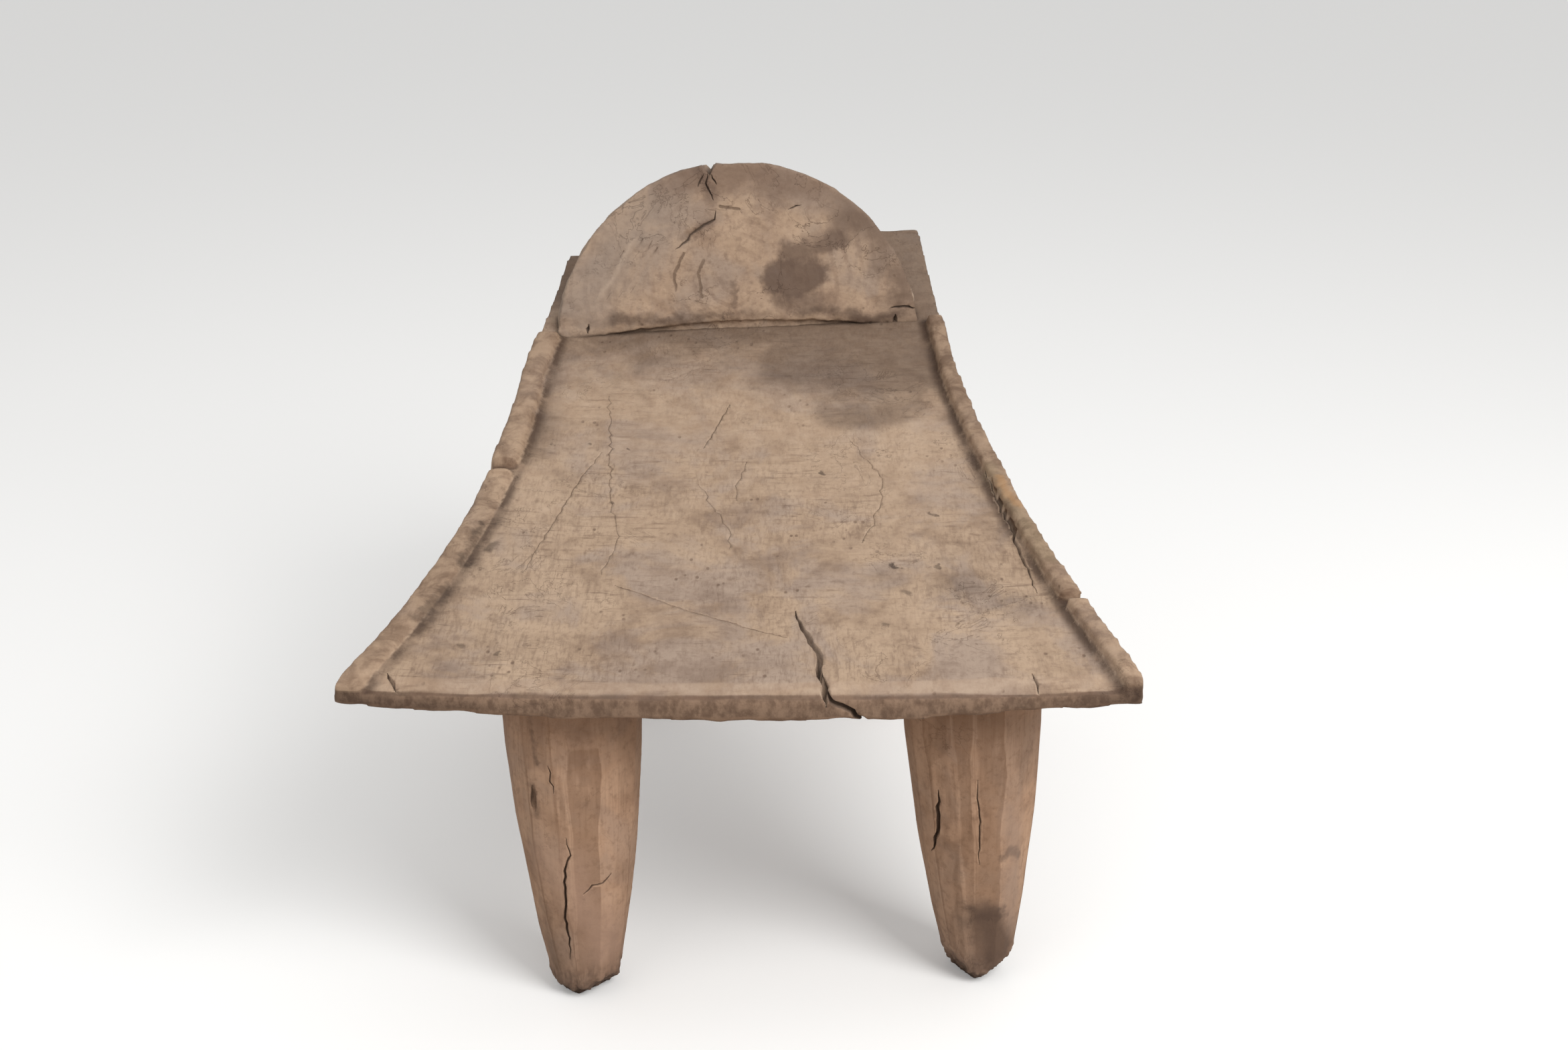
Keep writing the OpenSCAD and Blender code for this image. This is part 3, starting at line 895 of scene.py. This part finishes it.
def rimDistances(piece):
    # how far each vertex lies from the rims, and from the plain board under them
    reach = seat["rimNear"]
    rims = [frame["nodes"][node] for node in seat["rims"]]
    plain = frame["nodes"]["seat_board"]
    found = []
    for vertex in piece.data.vertices:
        near, over = reach, 0
        if abs(vertex.co.x) > 0.15 and vertex.co.y < 0.21:
            for rim in rims:
                hit, place, normal, index = rim.closest_point_on_mesh(vertex.co, distance=near)
                if hit:
                    near = min(near, (place - vertex.co).length)
            if near < reach:
                hit, place, normal, index = plain.closest_point_on_mesh(vertex.co)
                over = (place - vertex.co).length
        found.append((near, over, vertex.normal.z))
    return found


def makeSeat():
    piece = blankFrom("seat_board", "Board")
    low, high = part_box("seat_board")
    frontLine = low.y + 0.006
    bevelEdges(piece, lambda p: p.y < frontLine, seat["edgeWidth"])
    rims = [blankFrom(node, "rim") for node in seat["rims"]]
    for rim in rims:
        sinkFaces(rim, lambda p, n: n.z < -0.7, (0, 0, -0.006))
    joinInto(piece, rims)
    remesh(piece, seat["voxel"])
    wearRound(piece, 2)
    spots = rimDistances(piece)
    onRim = [1 - ramp(near, 0.0015, 0.006) for near, over, up in spots]
    left = weigh(piece, "left", lambda v: onRim[v.index] if v.co.x < 0 else 0)
    right = weigh(piece, "right", lambda v: onRim[v.index] if v.co.x > 0 else 0)
    leftFront = weigh(piece, "leftFront", lambda v: ramp(spots[v.index][1], 0.0, 0.009)
                      * (v.co.x < 0 and v.co.y < -0.05))
    under = weigh(piece, "under", lambda v: ramp(-v.normal.z, 0.3, 0.7))
    lip = weigh(piece, "lip", lambda v: ramp(low.y + seat["lipReach"] - v.co.y, 0, seat["lipReach"])
                * ramp(v.co.z - 0.2745 - 0.0909 * v.co.x ** 2, -0.014, -0.003))
    edge = weigh(piece, "edge", lambda v: ramp(low.y + 0.016 - v.co.y, 0, 0.012))
    lower(piece, seat["leftRimDrop"], leftFront)
    wearRound(piece, 14, left)
    wearRound(piece, 5, right)
    lower(piece, seat["lipDrop"], lip)
    roughen(piece, 0.13, 0.0028)
    roughen(piece, 0.035, 0.0011, stretch=(1.6, 1, 1), shift=0.31)
    roughen(piece, 0.012, 0.0007, stretch=(2.5, 0.8, 1), shift=0.12)
    roughen(piece, 0.028, 0.0036, group=under, shift=0.5)
    roughen(piece, 0.045, 0.0022, group=right, shift=0.3)
    roughen(piece, 0.012, 0.0010, group=right, shift=0.8)
    roughen(piece, 0.090, 0.0012, group=left, shift=0.1)
    roughen(piece, 0.060, 0.0026, group=edge, shift=0.7)
    roughen(piece, 0.014, 0.0006, group=edge, shift=0.2)
    # patina and painted crease shade, as one value at each vertex
    noteValue(piece, "patinaAndCreaseShade", patchValues(piece, boardPatinaAndCreaseShade))
    noteValue(piece, "rim", [ramp(over, 0.002, 0.006) * (up > -0.5) for near, over, up in spots])
    # the board just inside each rim, where the material paints a shadow line
    noteValue(piece, "groove", [(1 - ramp(near, 0.0035, 0.0115)) * (1 - ramp(over, 0.0015, 0.0045)) * (up > 0.5)
                                for near, over, up in spots])
    down = (0, 0, -1)
    tools = []
    for route, width, depth, wobble, seed, ends in seatSplits:
        tools.append(split(piece, [place + (0.3,) for place in route], down, width, depth, step=0.006,
                           wobble=wobble, seed=seed, ends=ends))
    frontSplit = split(piece, [(0.060, -0.353, 0.279), (0.064, -0.353, 0.272), (0.074, -0.353, 0.266),
                               (0.088, -0.353, 0.256), (0.094, -0.353, 0.250)],
                       (0, 1, 0), 0.0042, 0.016, step=0.004, seed=7, ends="openLast")
    cutAway(piece, tools, [frontSplit, chip((0.204, -0.070, 0.352), 0.0065, (1.1, 1.0, 0.9)),
                           chip((0.215, -0.105, 0.343), 0.006, (0.8, 2.0, 0.8)),
                           chip((-0.219, -0.050, 0.345), 0.006, (1.2, 0.9, 1))])
    complete(piece, ("seat_board",) + seat["rims"],
             woodMaterial("boardWood", boardLook, boardMarks, addRims))


# ---------- headrest: panel and feet are one carving ----------
headrest = {
    "voxel": 0.0018,
    "feet": ("headrest_left_foot", "headrest_right_foot"),
    "base": (-0.009, 0.185, 0.3985),
    "lean": 10,
    "turn": 4.5,
    "recess": 0.0060,         # how deep the wood is cut back under the panel
    "sill": (0.262, 0.014, 0.046),
}


def addSill():
    # what is left of the wood behind the recess
    turned = Euler((math.radians(-headrest["lean"]), 0, math.radians(headrest["turn"])))
    inward = Vector((0.004, headrest["recess"] + headrest["sill"][1] / 2, 0.004))
    inward.rotate(turned)
    bpy.ops.object.select_all(action="DESELECT")
    bpy.ops.mesh.primitive_cube_add(size=1, location=Vector(headrest["base"]) + inward, rotation=turned)
    sill = bpy.context.object
    sill.scale = headrest["sill"]
    bpy.ops.object.transform_apply(location=True, rotation=True, scale=True)
    bpy.ops.object.mode_set(mode="EDIT")
    bpy.ops.mesh.select_all(action="SELECT")
    bpy.ops.mesh.bevel(offset=0.004, segments=2, affect="EDGES")
    bpy.ops.object.mode_set(mode="OBJECT")
    return sill


# a split is its route across the panel, with its width and depth
headrestSplits = [
    ([(-0.037, 0.5415), (-0.039, 0.532), (-0.036, 0.526), (-0.032, 0.517)], 0.0022, 0.004),
    ([(-0.041, 0.540), (-0.046, 0.529)], 0.0018, 0.003),
    ([(-0.034, 0.540), (-0.029, 0.531)], 0.0016, 0.003),
    ([(-0.030, 0.508), (-0.031, 0.500), (-0.041, 0.495), (-0.051, 0.488), (-0.058, 0.480), (-0.067, 0.474)],
     0.0034, 0.0045),
    ([(0.036, 0.508), (0.048, 0.512)], 0.0018, 0.003),
    ([(0.1350, 0.400), (0.1352, 0.412)], 0.0046, 0.006),
    ([(0.1300, 0.4175), (0.1430, 0.4190), (0.1560, 0.4170)], 0.0026, 0.004),
    ([(-0.1475, 0.400), (-0.1465, 0.408)], 0.0040, 0.005),
]
adzeStrokes = [(-0.142, 0.428, 0.046), (-0.130, 0.430, 0.054), (-0.119, 0.432, 0.050), (-0.108, 0.436, 0.040)]


def makeHeadrest():
    piece = blankFrom("headrest_panel", "Headrest")
    feet = [blankFrom(node, "foot") for node in headrest["feet"]]
    sinkFaces(piece, lambda p, n: n.z < -0.75 and p.z < 0.43, (0, 0, -0.006))
    for foot in feet:
        sinkFaces(foot, lambda p, n: n.z < -0.75, (0, 0, -0.006))
    joinInto(piece, feet + [addSill()])
    remesh(piece, headrest["voxel"])
    wearRound(piece, 2)
    base = weigh(piece, "base", lambda v: ramp(0.440 - v.co.z, 0, 0.02))
    rim = weigh(piece, "rim", lambda v: ramp(math.hypot(v.co.x + 0.009, v.co.z - 0.398), 0.140, 0.152))
    roughen(piece, 0.06, 0.0024, shift=0.15)
    roughen(piece, 0.020, 0.0016, shift=0.55)
    roughen(piece, 0.007, 0.0007, shift=0.35)
    roughen(piece, 0.016, 0.0036, group=base, shift=0.25)
    roughen(piece, 0.022, 0.0024, group=rim, shift=0.65)
    back = (0, 1, 0)
    checks, strokes = [], []
    for i, (route, width, depth) in enumerate(headrestSplits):
        checks.append(split(piece, [(x, 0.2, z) for x, z in route], back, width, depth, step=0.004,
                            wobble=0.0008, seed=6 + i))
    for i, (x, z, reach) in enumerate(adzeStrokes):
        strokes.append(split(piece, [(x, 0.2, z), (x + reach * 0.35, 0.2, z + reach * 0.55),
                                     (x + reach * 0.62, 0.2, z + reach)],
                             back, 0.0065, 0.0011, step=0.008, wobble=0.0004, seed=20 + i))
    strokes.append(split(piece, [(-0.0365, 0.17, 0.5500), (-0.0365, 0.27, 0.5500)], (0.12, 0, -1),
                         0.017, 0.011, step=0.1, wobble=0, ends="open", dropped=False))
    cutAway(piece, checks, strokes, [chip((-0.054, 0.222, 0.553), 0.011, (1.3, 2.8, 0.75)),
                                     chip((-0.049, 0.1955, 0.4895), 0.012, (1.1, 0.32, 0.62))])
    material = woodMaterial("headrestWood", headrestLook, headrestMarks, addRings)
    complete(piece, ("headrest_panel",) + headrest["feet"], material)


# ---------- legs ----------
# a facet is its bearing in degrees, 0 to the front and 90 to the right, and its depth in mm
legs = {
    "FrontLeftLeg": {
        "node": "front_left_leg", "mount": "front_left_foot_face", "seed": 3,
        "facets": [(-98, 1.6), (-76, 1.2), (-56, 2.2), (-32, 2.4), (-9, 0.7), (14, 2.2), (38, 1.0), (60, 1.8),
                   (84, 1.2), (112, 1.8), (138, 1.4), (163, 1.9), (188, 1.3), (213, 1.8), (238, 1.4)],
        "tipCuts": [((0.010, -0.012, 0.009), (0.5, -0.5, -0.7))],
        "splits": [
            ([(-0.130, 0.142), (-0.127, 0.128), (-0.131, 0.118), (-0.132, 0.100), (-0.133, 0.078),
              (-0.131, 0.050), (-0.131, 0.036)], 0, 0.0022, 0.006, 3),
            ([(-0.119, 0.094), (-0.112, 0.101), (-0.104, 0.102), (-0.098, 0.108)], 0, 0.0016, 0.003, 6),
            ([(-0.142, 0.200), (-0.138, 0.178)], 0, 0.0014, 0.002, 15)],
        "chips": [((-0.1545, -0.3085, 0.170), 0.0055, (0.5, 0.9, 2.2)),
                  ((-0.1185, -0.3235, 0.093), 0.0040, (0.7, 0.8, 1.2))],
        "marks": [
            {"route": [(-0.157, -0.31, 0.180), (-0.153, -0.31, 0.158)], "width": 0.007, "soft": 0.8,
             "wobble": 0.010, "colour": bruise, "amount": 0.65},
            {"route": [(-0.119, -0.32, 0.096), (-0.118, -0.32, 0.091)], "width": 0.005, "soft": 0.7,
             "wobble": 0.006, "colour": bruise, "amount": 0.6},
            {"route": [(-0.160, -0.30, 0.28), (-0.152, -0.31, 0.20)], "width": 0.004, "soft": 0.9,
             "wobble": 0.008, "colour": bruise, "amount": 0.6},
            # painted shade: a darker strip down the leg's left side
            {"route": [(-0.150, -0.30, 0.16), (-0.140, -0.30, 0.03)], "width": 0.014, "soft": 0.95,
             "wobble": 0.03, "drift": "coarse", "colour": linear(112, 88, 68), "amount": 0.6},
            {"route": [(-0.14, -0.31, 0.12), (-0.10, -0.31, 0.05)], "width": 0.035, "soft": 0.95,
             "wobble": 0.04, "drift": "coarse", "colour": linear(172, 140, 120), "amount": 0.5}],
    },
    "FrontRightLeg": {
        "node": "front_right_leg", "mount": "front_right_foot_face", "seed": 5,
        "facets": [(-78, 1.6), (-56, 1.3), (-35, 2.4), (-13, 1.5), (9, 2.3), (31, 1.4), (56, 2.2), (82, 1.4),
                   (106, 1.9), (131, 1.5), (156, 2.0), (181, 1.4), (206, 1.9), (231, 1.5), (256, 1.9)],
        "tipCuts": [((0.006, -0.006, 0.006), (0.62, -0.2, -0.75)), ((-0.014, -0.010, 0.010), (-0.7, -0.45, -0.5))],
        "splits": [
            ([(0.139, 0.172), (0.1395, 0.150), (0.139, 0.134), (0.134, 0.116)], 0.2, 0.0034, 0.009, 5),
            ([(0.176, 0.186), (0.178, 0.160), (0.179, 0.140), (0.180, 0.112)], 0, 0.0015, 0.003, 25)],
        "marks": [
            {"route": [(0.172, -0.31, 0.072), (0.196, -0.30, 0.066)], "width": 0.012, "soft": 0.7,
             "wobble": 0.022, "colour": bruise, "amount": 0.85},
            {"route": [(0.186, -0.300, 0.062), (0.198, -0.292, 0.030)], "width": 0.026, "soft": 0.8,
             "wobble": 0.03, "drift": "coarse", "colour": linear(88, 68, 56), "amount": 0.85},
            {"route": [(0.196, -0.298, 0.116), (0.204, -0.295, 0.122), (0.213, -0.290, 0.112)],
             "width": 0.006, "soft": 0.8, "wobble": 0.012, "colour": bruise, "amount": 0.6},
            {"route": [(0.205, -0.30, 0.16), (0.214, -0.29, 0.05)], "width": 0.020, "soft": 0.95,
             "wobble": 0.03, "drift": "coarse", "colour": linear(146, 124, 110), "amount": 0.5}],
    },
    "RearLeftLeg": {
        "node": "rear_left_leg", "mount": "rear_left_foot_face", "seed": 8,
        "facets": [(i * 25.7 + 4, 1.3 + 0.9 * (i % 2)) for i in range(14)],
        "tipCuts": [((-0.010, 0.010, 0.008), (-0.4, 0.5, -0.75))],
    },
    "RearRightLeg": {
        "node": "rear_right_leg", "mount": "rear_right_foot_face", "seed": 9,
        "facets": [(i * 24 + 15, 1.3 + 0.9 * (i % 2)) for i in range(15)],
        "tipCuts": [((0.012, 0.006, 0.008), (0.55, 0.3, -0.75))],
    },
}


def adzeFacets(piece, values, foot, top):
    # flat strokes from under the board down to the tip, one plane at a time
    shake = random.Random(values["seed"])
    solid = frame["nodes"][values["node"]]
    planes = [(foot + Vector(place), Vector(normal)) for place, normal in values["tipCuts"]]
    for bearing, depth in values["facets"]:
        for share in (0.10, 0.32, 0.56, 0.82):
            angle = math.radians(bearing + shake.uniform(-2, 2))
            outward = Vector((math.sin(angle), -math.cos(angle), 0))
            centre = foot.lerp(top, share + shake.uniform(-0.03, 0.03))
            found, place, normal, index = solid.ray_cast(centre + outward * 0.3, -outward)
            if found:
                planes.append((place - normal * (depth + shake.uniform(-0.25, 0.25)) / 1000, normal))
    pickUp(piece)
    bpy.ops.object.mode_set(mode="EDIT")
    for place, normal in planes:
        bpy.ops.mesh.select_all(action="SELECT")
        bpy.ops.mesh.bisect(plane_co=place, plane_no=normal, use_fill=True, clear_outer=True)
    bpy.ops.object.mode_set(mode="OBJECT")


def makeLeg(name):
    values = legs[name]
    low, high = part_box(values["node"])
    mount = [m for m in frame["record"]["mounts"] if m["name"] == values["mount"]][0]
    foot = Vector(mount["pos_m"])
    top = Vector(((low.x + high.x) / 2, (low.y + high.y) / 2, high.z))
    piece = blankFrom(values["node"], name)
    adzeFacets(piece, values, foot, top)
    sinkFaces(piece, lambda p, n: n.z > 0.7 and p.z > top.z - 0.06, (0, 0, 0.008))
    remesh(piece, 0.0017)
    shift = values["seed"] * 0.07
    roughen(piece, 0.06, 0.0014, stretch=(1, 1, 2.5), shift=shift)
    roughen(piece, 0.011, 0.0006, stretch=(1, 1, 4), shift=shift + 0.3)
    tip = weigh(piece, "tip", lambda v: ramp(0.034 - v.co.z, 0, 0.026) * (v.co.z > 0.0035))
    roughen(piece, 0.0045, 0.0060, stretch=(1, 1, 2.5), group=tip, shift=shift)
    for route, slant, width, depth, seed in values.get("splits", ()):
        cutAway(piece, [split(piece, [(x, -0.34, z) for x, z in route], (slant, 1, 0), width, depth, seed=seed)])
    for place, radius, squash in values.get("chips", ()):
        cutAway(piece, [chip(place, radius, squash)])
    marks = footMarks(foot) + values.get("marks", [])
    complete(piece, (values["node"],),
             woodMaterial(name + "Wood", legLook, marks, addFacetTonesAndShadow))


makeSeat()
makeHeadrest()
for legName in legs:
    makeLeg(legName)
print("all pieces made")
